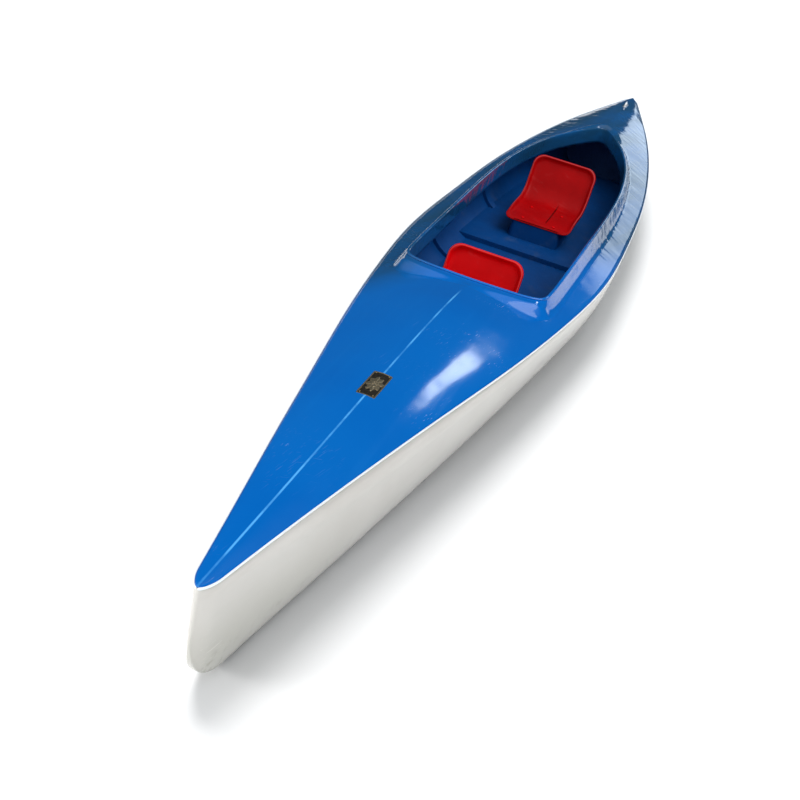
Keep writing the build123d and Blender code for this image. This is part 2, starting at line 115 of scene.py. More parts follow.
class Signal:
    """A node's output socket that can be used in arithmetic."""

    __add__ = __radd__ = arithmetic("ADD")
    __sub__ = arithmetic("SUBTRACT")
    __rsub__ = arithmetic("SUBTRACT", swapped=True)
    __mul__ = __rmul__ = arithmetic("MULTIPLY")
    __pow__ = arithmetic("POWER")
    __abs__ = arithmetic("ABSOLUTE")
    sine = arithmetic("SINE")
    least = arithmetic("MINIMUM")
    most = arithmetic("MAXIMUM")

    def __init__(self, bench: "Bench", socket: bpy.types.NodeSocket) -> None:
        """Keep the bench that adds nodes and the socket itself."""
        self.bench, self.socket = bench, socket

    def ramp(self, low: float, high: float) -> "Signal":
        """Smooth step from 0 where the signal is at low to 1 where it is at high."""
        node = self.bench.add("ShaderNodeMapRange",
                              {"interpolation_type": "SMOOTHSTEP", "clamp": True},
                              {"Value": self, "From Min": low, "From Max": high})
        return Signal(self.bench, node.outputs["Result"])


class Bench:
    """Builds one material's node tree."""

    def __init__(self, name: str) -> None:
        """Start an empty material.

        Args:
            name: The material's name.
        """
        self.material = bpy.data.materials.new(name)
        self.material.use_nodes = True
        self.tree = self.material.node_tree
        self.tree.nodes.clear()
        self.output = self.tree.nodes.new("ShaderNodeOutputMaterial")
        self.place = self.add("ShaderNodeTexCoord").outputs["Object"]

    def add(self, kind: str, settings: dict[str, Any] | None = None,
            inputs: dict[Any, Any] | None = None) -> bpy.types.Node:
        """Add a node to this material, as add_node does."""
        return add_node(self.tree, kind, settings, inputs)

    def signal(self, node: bpy.types.Node, output: Any = 0) -> Signal:
        """Wrap a node's output."""
        return Signal(self, node.outputs[output])

    def axis(self, letter: str) -> Signal:
        """One coordinate of the surface point, in metres."""
        node = self.add("ShaderNodeSeparateXYZ", None, {0: self.place})
        return self.signal(node, letter)

    def stretched(self, scale: Point, turn: float = 0.0) -> Any:
        """Surface coordinates scaled by axis and turned about Z.

        Args:
            scale: Factor on each axis.
            turn: Angle in degrees.

        Returns:
            The mapped vector socket.
        """
        moved = self.add("ShaderNodeMapping", {"vector_type": "POINT"},
                         {"Vector": self.place,
                          "Rotation": (0.0, 0.0, math.radians(turn))})
        node = self.add("ShaderNodeVectorMath", {"operation": "MULTIPLY"},
                        {0: moved.outputs[0], 1: scale})
        return node.outputs[0]

    def noise(self, scale: float, detail: float = 3.0, vector: Any = None,
              roughness: float = 0.55) -> Signal:
        """Noise from 0 to 1, with features per metre, octaves and their finer weight."""
        node = self.add("ShaderNodeTexNoise", None,
                        {"Vector": vector or self.place, "Scale": scale, "Detail": detail,
                         "Roughness": roughness})
        return self.signal(node, 0)

    def cells(self, scale: float) -> Signal:
        """Distance to the nearest of scattered points, with that many cells per metre."""
        node = self.add("ShaderNodeTexVoronoi", None, {"Vector": self.place, "Scale": scale})
        return self.signal(node, "Distance")

    def attribute(self, name: str) -> Signal:
        """Value of a mesh attribute."""
        return self.signal(self.add("ShaderNodeAttribute", {"attribute_name": name}), "Fac")

    def blend(self, share: Any, first: Any, second: Any) -> Any:
        """Mix two colours or colour sockets, with the second one's share."""
        node = self.add("ShaderNodeMix", {"data_type": "RGBA"},
                        {"Factor": share, 6: first, 7: second})
        return node.outputs[2]

    def bump(self, height: Signal, depth: float, under: Any = None) -> Any:
        """Bump node.

        Args:
            height: Height signal, 0 to 1.
            depth: Depth in metres of a full step.
            under: A normal below this one.

        Returns:
            The normal's socket.
        """
        inputs = {"Height": height, "Distance": depth, "Strength": 1.0}
        if under is not None:
            inputs["Normal"] = under
        return self.add("ShaderNodeBump", None, inputs).outputs[0]

    def finish(self, **sockets: Any) -> bpy.types.Material:
        """End with a principled shader.

        Args:
            sockets: Its inputs, with underscores for spaces.

        Returns:
            The material.
        """
        shader = self.add("ShaderNodeBsdfPrincipled", None,
                          {key.replace("_", " "): value for key, value in sockets.items()})
        self.tree.links.new(shader.outputs[0], self.output.inputs[0])
        return self.material


# ---- finishes
@dataclass(frozen=True)
class Gelcoat:
    """Polished gelcoat with age: fading, haze streaks, hairline scratches, grime; painted shade
    on the hull's bow sides, painted dark reflection aft and a painted ridge highlight.
    """

    name: str
    colour: Colour
    faded: Colour
    scratch: Colour
    roughness: float = 0.07
    fade: float = 0.35
    wave: float = 0.0007
    # Colour of the speckled grime low on the hull, also used for the painted shade on its bow
    # sides.
    grime_and_shade: Colour | None = None
    # Near-black blue for the aft deck: dulled gelcoat and painted dark reflection.
    dull_and_dark_reflection: Colour | None = None
    # Light blue of the painted highlight along the deck's ridge.
    crest_highlight: Colour = (0.10, 0.46, 0.92)
    shine: float = 0.36

    def build(self) -> bpy.types.Material:
        """Return the node material."""
        b = Bench(self.name)
        tone = b.noise(1.7, 4.0).ramp(0.35, 0.72)
        streak = b.noise(1.0, 3.0, b.stretched((1.2, 26.0, 26.0))).ramp(0.52, 0.78)
        mottled = b.noise(38.0, 3.0).ramp(0.45, 0.8)
        colour = b.blend(tone * self.fade, self.colour, self.faded)
        colour = b.blend(streak * 0.22 + mottled * 0.06, colour, self.faded)
        fine = b.noise(1.0, 2.0, b.stretched((7.0, 420.0, 420.0), 11.0)).ramp(0.66, 0.71)
        cross = b.noise(1.0, 2.0, b.stretched((360.0, 9.0, 300.0), -24.0)).ramp(0.70, 0.74)
        patches = b.noise(3.3, 2.0).ramp(0.5, 0.72)
        hair = (fine + cross * 0.6).least(1.0) * patches
        colour = b.blend(hair * 0.35, colour, self.scratch)
        if self.grime_and_shade:
            low = b.axis("Z").ramp(0.16, 0.0)
            bow = b.axis("X").ramp(2.40, 2.56)
            specks = b.noise(26.0, 5.0, roughness=0.7).ramp(0.50, 0.68)
            # Painted shade: the hull's upper bow sides darken towards the grime colour from x
            # 1.7 m forward; stain sums this with the speckled grime.
            bow_side_shade = b.axis("X").ramp(1.7, 2.45) * b.axis("Z").ramp(0.34, 0.14)
            stain = (low * specks * 0.30 + bow * low * specks * 0.9 + bow_side_shade * 0.26).least(1.0)
            colour = b.blend(stain, colour, self.grime_and_shade)
        if self.dull_and_dark_reflection:
            # Painted dark reflection with dulling: the aft deck, more so to starboard, blends
            # towards the near-black blue in cloudy patches.
            aft = (b.axis("X") + b.axis("Y") * 1.5).ramp(0.52, 0.05)
            cloudy = b.noise(1.0, 4.0, b.stretched((1.6, 9.0, 9.0), 14.0)).ramp(0.30, 0.70)
            colour = b.blend(aft * (cloudy * 0.30 + 0.62), colour, self.dull_and_dark_reflection)
            broken = b.noise(6.0, 4.0).ramp(0.36, 0.58)
            # Painted highlight: a broken light-blue line along the foredeck's ridge.
            ridge = abs(b.axis("Y")).ramp(0.0040, 0.0012) * b.axis("X").ramp(0.68, 0.80)
            colour = b.blend(ridge * (broken * 0.60 + 0.25), colour, self.crest_highlight)
        rough = self.roughness + tone * 0.03 + streak * 0.05 + hair * 0.22
        swell = b.noise(4.2, 1.5)
        peel = b.noise(170.0, 1.0)
        normal = b.bump(swell, self.wave * 4.0)
        if self.dull_and_dark_reflection:
            ripple = b.noise(1.0, 2.5, b.stretched((12.0, 5.0, 5.0), 25.0))
            normal = b.bump(ripple * aft, self.wave * 8.0, normal)
        normal = b.bump(peel + hair * -0.8, self.wave * 0.08, normal)
        return b.finish(Base_Color=colour, Roughness=rough, Normal=normal,
                        Specular_IOR_Level=self.shine, Coat_Weight=0.12, Coat_Roughness=0.03)


@dataclass(frozen=True)
class Laminate:
    """Painted glass-fibre laminate with the cloth's weave showing through."""

    name: str
    colour: Colour
    dark: Colour
    weave: float = 900.0

    def build(self) -> bpy.types.Material:
        """Return the node material."""
        b = Bench(self.name)
        x, y, z = (b.axis(letter) for letter in "XYZ")
        warp = (x * self.weave).sine() * (y * self.weave + z * self.weave).sine()
        cloud = b.noise(5.0, 4.0).ramp(0.3, 0.75)
        dirt = b.noise(14.0, 5.0, roughness=0.65).ramp(0.52, 0.74)
        colour = b.blend(cloud * 0.5, self.colour, self.dark)
        colour = b.blend(dirt * 0.18, colour, (0.10, 0.13, 0.16))
        rough = 0.52 + cloud * 0.12 + dirt * 0.15
        normal = b.bump(warp * 0.5 + 0.5, 0.00035)
        normal = b.bump(b.noise(22.0, 2.0), 0.0015, normal)
        return b.finish(Base_Color=colour, Roughness=rough, Normal=normal,
                        Specular_IOR_Level=0.12)


@dataclass(frozen=True)
class SeatPlastic:
    """Moulded red plastic with scuffs, a painted highlight along the rolled edge and a fold
    line down the pan darkened as painted shade.
    """

    name: str
    colour: Colour
    deep: Colour
    worn_and_highlight: Colour
    fold: tuple[float, float]

    def build(self) -> bpy.types.Material:
        """Return the node material."""
        b = Bench(self.name)
        edge = b.attribute("edge")
        cloud = b.noise(9.0, 3.0).ramp(0.3, 0.7)
        scuff = b.noise(1.0, 3.0, b.stretched((60.0, 9.0, 30.0), 20.0)).ramp(0.58, 0.72)
        x, y = b.axis("X"), b.axis("Y")
        start, end = self.fold
        line = abs(y + b.noise(6.0, 1.0) * 0.006 - 0.003).ramp(0.0045, 0.0008)
        line = line * x.ramp(start, start + 0.05) * x.ramp(end, end - 0.05)
        colour = b.blend(cloud * 0.5, self.colour, self.deep)
        # Painted shade: the fold line darkens to near black.
        colour = b.blend(line * 0.85, colour, (0.06, 0.0, 0.0))
        # Painted highlight: the top of the rolled border, marked by the edge attribute, turns a
        # lighter pink.
        colour = b.blend(edge ** 2.5 * 0.8, colour, self.worn_and_highlight)
        colour = b.blend(scuff * 0.10, colour, self.worn_and_highlight)
        grain = b.cells(1500.0)
        normal = b.bump(grain * 0.6 + line * -30.0, 0.00010)
        return b.finish(Base_Color=colour, Roughness=0.36 + scuff * 0.2 + cloud * 0.05,
                        Normal=normal, Specular_IOR_Level=0.08)


@dataclass(frozen=True)
class Metal:
    """Bare metal with fine drawn lines and a little tarnish."""

    name: str
    colour: Colour
    tarnish: Colour
    roughness: float = 0.25
    lines: Point = (30.0, 900.0, 900.0)

    def build(self) -> bpy.types.Material:
        """Return the node material."""
        b = Bench(self.name)
        drawn = b.noise(1.0, 2.0, b.stretched(self.lines))
        stain = b.noise(90.0, 4.0, roughness=0.7).ramp(0.45, 0.75)
        colour = b.blend(stain * 0.5, self.colour, self.tarnish)
        return b.finish(Base_Color=colour, Metallic=1.0,
                        Roughness=self.roughness + drawn * 0.12 + stain * 0.15,
                        Normal=b.bump(drawn, 0.00008))


@dataclass(frozen=True)
class Relief:
    """Cast plate: a raised border round a plain rosette on a pebbled ground."""

    name: str
    centre: Point
    half: tuple[float, float]
    bright: Colour = (0.42, 0.33, 0.20)
    dark: Colour = (0.035, 0.028, 0.02)

    def build(self) -> bpy.types.Material:
        """Return the node material."""
        b = Bench(self.name)
        x = b.axis("X") - self.centre[0]
        y = b.axis("Y") - self.centre[1]
        half_x, half_y = self.half
        inside = (half_x - abs(x)).least(half_y - abs(y))
        border = inside.ramp(0.0055, 0.0030)
        radius = (x * x * 0.30 + y * y) ** 0.5
        angle = b.signal(b.add("ShaderNodeMath", {"operation": "ARCTAN2"},
                               {0: y, 1: x * 0.55}))
        petal = ((angle * 8.0).sine() * 0.5 + 0.5)
        rosette = (0.021 - radius + petal * 0.006).ramp(0.0, 0.003)
        ring = abs(radius - 0.0085).ramp(0.0020, 0.0008)
        ground = b.noise(420.0, 2.0)
        height = border.most(rosette * (0.45 + petal * 0.4)).most(ring) + ground * 0.16
        colour = b.blend(height.ramp(0.15, 0.85), self.dark, self.bright)
        colour = b.blend(b.noise(120.0, 3.0).ramp(0.5, 0.7) * 0.4, colour, (0.10, 0.12, 0.09))
        return b.finish(Base_Color=colour, Metallic=0.85,
                        Roughness=0.55 - height.ramp(0.2, 0.9) * 0.27,
                        Normal=b.bump(height, 0.0022))


@dataclass(frozen=True)
class Foam:
    """Rigid bead foam sealed with dark blue paint, the beads showing through."""

    name: str = "painted_foam"

    def build(self) -> bpy.types.Material:
        """Return the node material."""
        b = Bench(self.name)
        bead = b.cells(230.0)
        thin = b.noise(7.0, 4.0).ramp(0.45, 0.75)
        colour = b.blend(thin * 0.6, (0.0, 0.045, 0.20), (0.01, 0.09, 0.32))
        colour = b.blend(bead.ramp(0.3, 0.7) * 0.3, colour, (0.0, 0.02, 0.09))
        return b.finish(Base_Color=colour, Roughness=0.6 + bead * 0.1,
                        Normal=b.bump(1.0 - bead, 0.0012))


@dataclass(frozen=True)
class KnobPlastic:
    """Black moulded plastic with a fine grain."""

    name: str = "black_plastic"

    def build(self) -> bpy.types.Material:
        """Return the node material."""
        b = Bench(self.name)
        dust = b.noise(60.0, 4.0).ramp(0.5, 0.75)
        colour = b.blend(dust * 0.4, (0.018, 0.018, 0.02), (0.11, 0.11, 0.11))
        return b.finish(Base_Color=colour, Roughness=0.45 + dust * 0.2,
                        Normal=b.bump(b.cells(1400.0), 0.0001))


class Palette:
    """Every finish, built once and shared."""

    def __init__(self) -> None:
        """Build the materials."""
        plate_low, plate_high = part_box("emblem_plate")
        mid = (plate_low + plate_high) / 2
        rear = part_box("rear_seat_shell")
        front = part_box("front_seat_shell")
        seat = dict(colour=(0.66, 0.001, 0.003), deep=(0.50, 0.0, 0.001),
                    worn_and_highlight=(0.62, 0.085, 0.085))
        # The rear seat uses a darker copy of the seat red: painted shade.
        aft_seat_shaded = dict(colour=(0.37, 0.001, 0.002), deep=(0.25, 0.0, 0.001),
                        worn_and_highlight=(0.52, 0.085, 0.085))
        # The deck's near-black blue paints dark reflection and dulling on the aft deck.
        blue = dict(colour=(0.0, 0.115, 0.455), faded=(0.002, 0.150, 0.52),
                    scratch=(0.25, 0.42, 0.78), dull_and_dark_reflection=(0.010, 0.052, 0.105))
        self.deck = Gelcoat("blue_gelcoat", **blue).build()
        # The white hull's grime colour also paints shade on its bow sides.
        self.hull = Gelcoat("white_gelcoat", (0.55, 0.535, 0.505), (0.47, 0.45, 0.415),
                            (0.42, 0.40, 0.36), 0.14, 0.5, 0.0005,
                            grime_and_shade=(0.30, 0.31, 0.25)).build()
        self.strip = Gelcoat("strip_white", (0.76, 0.82, 0.86), (0.68, 0.74, 0.78),
                             (0.55, 0.55, 0.53), 0.18, 0.4, 0.0002).build()
        self.inside = Laminate("blue_laminate", (0.0, 0.050, 0.21), (0.0, 0.028, 0.13)).build()
        self.rear_seat = SeatPlastic(
            "shaded_red_rear_seat", fold=(rear[0].x + 0.10, rear[1].x - 0.04), **aft_seat_shaded).build()
        self.front_seat = SeatPlastic(
            "red_front_seat", fold=(front[0].x + 0.13, front[1].x - 0.05), **seat).build()
        self.cap = SeatPlastic("red_caps", fold=(9.0, 10.0), **seat).build()
        self.emblem = Relief("bronze_relief", (mid.x, mid.y, mid.z),
                             ((plate_high.x - plate_low.x) / 2,
                              (plate_high.y - plate_low.y) / 2)).build()
        self.bronze = Metal("bronze", (0.33, 0.25, 0.14), (0.06, 0.05, 0.03), 0.35).build()
        self.steel = Metal("stainless", (0.78, 0.78, 0.79), (0.45, 0.44, 0.42), 0.16).build()
        self.alloy = Metal("drawn_aluminium", (0.80, 0.81, 0.82), (0.55, 0.55, 0.54),
                           0.3).build()
        self.foam = Foam().build()
        self.black = KnobPlastic().build()


# ---- lines of the boat
class Table:
    """Smooth curve through a few stations, with continuous curvature."""

    def __init__(self, *rows: tuple[float, float]) -> None:
        """Solve the natural cubic spline.

        Args:
            rows: Station from -1 to 1 and value, stern to bow.
        """
        self.at = np.array([r[0] for r in rows])
        self.value = np.array([r[1] for r in rows])
        gap = np.diff(self.at)
        size = len(rows)
        left, right = np.eye(size), np.zeros(size)
        for k in range(1, size - 1):
            left[k, k - 1:k + 2] = gap[k - 1], 2 * (gap[k - 1] + gap[k]), gap[k]
            right[k] = 6 * ((self.value[k + 1] - self.value[k]) / gap[k]
                            - (self.value[k] - self.value[k - 1]) / gap[k - 1])
        self.bend = np.linalg.solve(left, right)

    def __call__(self, u: float) -> float:
        """Value at a station from -1 to 1."""
        u = min(1.0, max(-1.0, u))
        k = int(np.clip(np.searchsorted(self.at, u) - 1, 0, len(self.at) - 2))
        h = self.at[k + 1] - self.at[k]
        a, c = (self.at[k + 1] - u) / h, (u - self.at[k]) / h
        curve = (a ** 3 - a) * self.bend[k] + (c ** 3 - c) * self.bend[k + 1]
        return float(a * self.value[k] + c * self.value[k + 1] + curve * h * h / 6)


@dataclass
class Lines:
    """The boat's form: half breadth, deck edge, ridge and keel along the length."""

    half_length: float = 2.6
    beam: float = 0.828
    depth: float = 0.37
    skin: float = 0.0032
    flat_share: float = 0.22
    nose: float = 0.06
    forefoot: float = 0.17
    forefoot_rise: float = 0.2
    camber: float = 0.009
    ridge_round: float = 0.004
    breadth_table: Table = field(default_factory=lambda: Table(
        (-1.0, 0.050), (-0.904, 0.240), (-0.769, 0.494), (-0.577, 0.757), (-0.385, 0.915),
        (-0.192, 0.985), (0.0, 1.0), (0.192, 0.893), (0.385, 0.722), (0.577, 0.512),
        (0.769, 0.300), (0.923, 0.130), (1.0, 0.050)))
    sheer_table: Table = field(default_factory=lambda: Table(
        (-1.0, 0.822), (-0.769, 0.745), (-0.577, 0.688), (-0.385, 0.650), (-0.192, 0.637),
        (0.0, 0.662), (0.192, 0.719), (0.385, 0.795), (0.577, 0.876), (0.769, 0.944),
        (1.0, 0.980)))
    ridge_table: Table = field(default_factory=lambda: Table(
        (-1.0, 0.846), (-0.769, 0.905), (-0.5, 0.925), (0.0, 0.915), (0.2, 0.920),
        (0.26, 0.945), (0.32, 0.980), (0.385, 1.0), (0.769, 1.0), (1.0, 1.0)))
    keel_table: Table = field(default_factory=lambda: Table(
        (-1.0, 0.060), (-0.85, 0.020), (-0.62, 0.0), (0.62, 0.0), (0.85, 0.012), (1.0, 0.040)))
    fullness_table: Table = field(default_factory=lambda: Table(
        (-1.0, 2.6), (-0.8, 3.2), (-0.4, 3.0), (0.0, 3.0), (0.4, 3.5), (0.8, 4.2), (1.0, 2.6)))

    def rounding(self, x: float, reach: float) -> float:
        """0 away from the ends, rising to 1 at the tip over a reach."""
        past = max(0.0, abs(x) - (self.half_length - reach)) / reach
        return 1 - math.sqrt(max(0.0, 1 - past * past))

    def breadth(self, x: float) -> float:
        """Half breadth at the deck edge."""
        body = self.breadth_table(x / self.half_length) * self.beam / 2
        return body * (1 - self.rounding(x, self.nose))

    def sheer(self, x: float) -> float:
        """Height of the deck edge."""
        return self.sheer_table(x / self.half_length) * self.depth

    def ridge(self, x: float) -> float:
        """Height of the deck's ridge."""
        return self.ridge_table(x / self.half_length) * self.depth

    def keel(self, x: float) -> float:
        """Height of the bottom on the centre line."""
        low = max(0.0, self.keel_table(x / self.half_length) * self.depth)
        return low + self.forefoot_rise * self.rounding(x, self.forefoot)

    def side(self, x: float, angle: float) -> tuple[float, float]:
        """Point of the port side of a section.

        Args:
            x: Station.
            angle: Pi/2 at the deck edge, 0 at the bottom's flat.

        Returns:
            Distance from the centre line and height.
        """
        breadth = self.breadth(x)
        flat = breadth * self.flat_share
        top, low = self.sheer(x), self.keel(x)
        n = self.fullness_table(x / self.half_length)
        y = flat + (breadth - flat) * max(math.sin(angle), 0.0) ** (2 / n)
        return y, top - (top - low) * max(math.cos(angle), 0.0) ** (2 / n)

    def deck(self, x: float, y: float) -> float:
        """Height of the deck's outside at a point inside the deck edge."""
        edge = self.breadth(x)
        low, top = self.sheer(x), self.ridge(x)
        soft = min(self.ridge_round, edge * 0.3)
        off = math.sqrt(y * y + soft * soft) - soft
        full = math.sqrt(edge * edge + soft * soft) - soft
        t = 1 - min(1.0, off / max(full, 1e-9))
        swell = self.camber * min(1.0, (top - low) / 0.04)
        return low + (top - low) * t + swell * math.sin(math.pi * t) - 0.12 * soft * t

    def stations(self, count: int) -> list[float]:
        """Positions along the boat, closer together at the rounded ends."""
        reach = self.half_length - self.forefoot
        body = [reach * (2 * k / count - 1) for k in range(count + 1)]
        ends = [self.half_length - self.forefoot * (1 - math.sin(a * math.pi / 2)) for a in
                (np.arange(1, 19) / 18)]
        return [-x for x in reversed(ends)] + body + ends


# ---- object helpers
def put(name: str, data: Any) -> bpy.types.Object:
    """Make an object of some data and link it to the scene."""
    obj = bpy.data.objects.new(name, data)
    bpy.context.scene.collection.objects.link(obj)
    return obj


def mesh_piece(name: str, points: Sequence[Point], faces: Sequence[Sequence[int]],
               materials: Sequence[bpy.types.Material], merge: float = 1e-5,
               values: dict[str, Sequence[float]] | None = None) -> bpy.types.Object:
    """Make a smooth-shaded object.

    Args:
        name: Object name.
        points: Vertices in metres.
        faces: Faces as vertex numbers.
        materials: Materials in slot order.
        merge: Distance under which vertices are merged.
        values: Point attributes by name, one value for each vertex.

    Returns:
        The object, linked to the scene.
    """
    mesh = bpy.data.meshes.new(name)
    mesh.from_pydata([tuple(map(float, p)) for p in points], [], [list(f) for f in faces])
    for label, numbers in (values or {}).items():
        mesh.attributes.new(label, "FLOAT", "POINT").data.foreach_set("value", list(numbers))
    work = bmesh.new()
    work.from_mesh(mesh)
    bmesh.ops.remove_doubles(work, verts=work.verts, dist=merge)
    bmesh.ops.recalc_face_normals(work, faces=work.faces)
    work.to_mesh(mesh)
    work.free()
    mesh.polygons.foreach_set("use_smooth", [True] * len(mesh.polygons))
    obj = put(name, mesh)
    for material in materials:
        mesh.materials.append(material)
    return obj


def grid_faces(rows: int, columns: int, closed: bool = False) -> list[tuple[int, ...]]:
    """Quads of a grid of vertices.

    Args:
        rows: Number of rows.
        columns: Vertices in each row.
        closed: Whether each row closes on itself.

    Returns:
        Faces as vertex numbers.
    """
    last = columns if closed else columns - 1
    return [(r * columns + c, r * columns + (c + 1) % columns,
             (r + 1) * columns + (c + 1) % columns, (r + 1) * columns + c)
            for r in range(rows - 1) for c in range(last)]


def settle(obj: bpy.types.Object) -> bpy.types.Object:
    """Replace the mesh by its evaluated form and drop the modifiers."""
    graph = bpy.context.evaluated_depsgraph_get()
    graph.update()
    made = bpy.data.meshes.new_from_object(obj.evaluated_get(graph))
    obj.modifiers.clear()
    obj.data = made
    return obj


def solid(obj: bpy.types.Object, thickness: float, inner_slot: int = 0) -> bpy.types.Object:
    """Give an open surface a wall on its inner side.

    Args:
        obj: The surface, with normals outwards.
        thickness: Wall thickness.
        inner_slot: Added to the material number of the inner faces.

    Returns:
        The closed object.
    """
    wall = obj.modifiers.new("wall", "SOLIDIFY")
    wall.thickness, wall.offset, wall.use_even_offset = thickness, -1.0, False
    wall.material_offset = inner_slot
    return settle(obj)


def face_up(obj: bpy.types.Object, toward: Callable[[Vector, Vector], float]) -> None:
    """Flip the whole open surface if its normals point the wrong way.

    Args:
        obj: The object.
        toward: Positive for a face centre and normal that point the right way.
    """
    score = sum(toward(p.center, p.normal) for p in obj.data.polygons)
    if score < 0:
        obj.data.flip_normals()


# ---- hull and deck
@dataclass
class HullMoulding:
    """White outer hull, blue inside, as one closed laminate shell."""

    lines: Lines
    palette: Palette
    stations: int = 150
    around: int = 30

    def build(self) -> bpy.types.Object:
        """Return the hull."""
        xs = self.lines.stations(self.stations)
        points: list[Point] = []
        for x in xs:
            port = [self.lines.side(x, math.pi / 2 * (1 - k / self.around))
                    for k in range(self.around + 1)]
            ring = port + [(-y, z) for y, z in reversed(port)]
            points += [(x, y, z) for y, z in ring]
        columns = 2 * (self.around + 1)
        hull = mesh_piece("hull_skin", points, grid_faces(len(xs), columns),
                          [self.palette.hull, self.palette.inside])
        face_up(hull, lambda c, n: n.y * c.y + n.z * (c.z - 0.2))
        solid(hull, self.lines.skin, 1)
        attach(hull, BOAT)
        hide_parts("hull_shell")
        return hull


@dataclass
class Cockpit:
    """Plan and rim of the cockpit."""

    front: float = 0.559
    rear: float = -1.794
    half: float = 0.27738
    taper: tuple[tuple[float, float], ...] = (
        (0.30, 1.005), (0.52, 1.0), (0.68, 0.90), (0.82, 0.68), (0.93, 0.36))
    corner: float = 0.085
    bow: float = 0.008
    nose: float = 0.018
    top: float = 0.34151
    rake: float = math.radians(0.54)
    side_reach: float = 0.052
    front_reach: float = 0.084
    cover: float = 0.014

    def plan(self, count: int = 520) -> list[tuple[float, float]]:
        """Closed outline of the inner edge, counted from the front round by port."""
        length = self.front - self.rear
        knots = [(self.front, 0.0), (self.front - 0.6 * self.bow, 0.5 * self.half),
                 (self.front - self.bow, self.half - 1.15 * self.corner),
                 (self.front - 0.33 * self.corner, self.half - 0.33 * self.corner),
                 (self.front - self.corner, self.half * 0.972)]
        knots += [(self.front - s * length, self.half * w)
                  for s, w in ((0.15, 0.995), *self.taper)]
        knots += [(self.rear + self.nose, 1.3 * self.nose), (self.rear, 0.0)]
        loop = knots + [(x, -y) for x, y in reversed(knots[1:-1])]
        pts = np.array(loop + loop[:1])
        step = np.sqrt(np.hypot(*np.diff(pts, axis=0).T))
        at = np.concatenate([[0], np.cumsum(step)])
        pad = 4
        wide = np.concatenate([pts[-pad - 1:-1], pts, pts[1:pad + 1]])
        times = np.concatenate([at[-pad - 1:-1] - at[-1], at, at[1:pad + 1] + at[-1]])
        fx, fy = Spline1D(times, wide[:, 0]), Spline1D(times, wide[:, 1])
        fine = np.linspace(0, at[-1], 4001)
        dense = np.array([(fx(t), fy(t)) for t in fine])
        run = np.concatenate([[0], np.cumsum(np.hypot(*np.diff(dense, axis=0).T))])
        even = np.linspace(0, run[-1], count, endpoint=False)
        return list(zip(np.interp(even, run, dense[:, 0]), np.interp(even, run, dense[:, 1])))

    def outward(self, plan: list[tuple[float, float]]) -> np.ndarray:
        """Unit normals of the outline, away from the opening."""
        pts = np.array(plan)
        run = np.roll(pts, -1, axis=0) - np.roll(pts, 1, axis=0)
        normal = np.stack([run[:, 1], -run[:, 0]], axis=1)
        normal /= np.linalg.norm(normal, axis=1)[:, None]
        side = np.sum(normal * (pts - pts.mean(axis=0)))
        return normal if side > 0 else -normal

    def rim(self, x: float) -> float:
        """Height of the rim's top."""
        return self.top + math.tan(self.rake) * x

    def reach(self, forward: float) -> float:
        """Width of the collar, from the forward part of the outward direction."""
        return self.side_reach + (self.front_reach - self.side_reach) * max(0.0, forward) ** 2

    def covered(self, x: float, y: float, plan: np.ndarray,
                normals: np.ndarray) -> tuple[float, Sequence[float]]:
        """How far a deck point lies inside the line where the collar covers the deck.

        Args:
            x: Position along the boat.
            y: Position across.
            plan: Outline of the opening.
            normals: Its outward directions.

        Returns:
            Distance inside the line, negative outside it, and the way out.
        """
        gap = plan - (x, y)
        near = int(np.argmin(np.sum(gap * gap, axis=1)))
        outside = -float(np.dot(gap[near], normals[near]))
        return self.reach(float(normals[near][0])) - self.cover - outside, normals[near]


class Spline1D:
    """Natural cubic spline over any increasing parameter."""

    def __init__(self, at: np.ndarray, value: np.ndarray) -> None:
        """Scale the increasing parameter to -1..1 and solve for the values at it."""
        self.low, self.span = at[0], at[-1] - at[0]
        self.table = Table(*zip(2 * (at - self.low) / self.span - 1, value))

    def __call__(self, t: float) -> float:
        """Value at a parameter."""
        return self.table(2 * (t - self.low) / self.span - 1)


@dataclass
class DeckMoulding:
    """Peaked deck with its edge and the cut for the cockpit."""

    lines: Lines
    cockpit: Cockpit
    palette: Palette
    stations: int = 380
    across: int = 30
    crowding: float = 1.15
    near_half: float = 0.36
    near_ends: float = 0.12
    tuck: float = 0.002

    def build(self) -> bpy.types.Object:
        """Return the deck."""
        xs = self.lines.stations(self.stations)
        points: list[Point] = []
        shares = [math.copysign(abs(s) ** self.crowding, s) for s in
                  np.linspace(-1, 1, 2 * self.across + 1)]
        for x in xs:
            edge = self.lines.breadth(x)
            points += [(x, edge * s, self.lines.deck(x, edge * s)) for s in shares]
        faces = grid_faces(len(xs), len(shares))
        plan = self.cockpit.plan()
        normals = self.cockpit.outward(plan)
        outline = np.array(plan)
        aft, ahead = self.cockpit.rear - self.near_ends, self.cockpit.front + self.near_ends
        near = {k for k, (x, y, _) in enumerate(points)
                if abs(y) < self.near_half and aft < x < ahead}
        cover = {k: self.cockpit.covered(*points[k][:2], outline, normals) for k in near}
        kept = [face for face in faces
                if not all(k in near and cover[k][0] > -0.001 for k in face)]
        for k in {k for face in kept for k in face if k in near and cover[k][0] > 0}:
            depth, way = cover[k]
            x, y = points[k][0] + way[0] * depth, points[k][1] + way[1] * depth
            points[k] = (x, y, self.lines.deck(x, y) - self.tuck)
        deck = mesh_piece("deck_skin", points, kept, [self.palette.deck, self.palette.inside])
        face_up(deck, lambda c, n: n.z)
        solid(deck, self.lines.skin, 1)
        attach(deck, BOAT)
        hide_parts("deck_shell")
        return deck


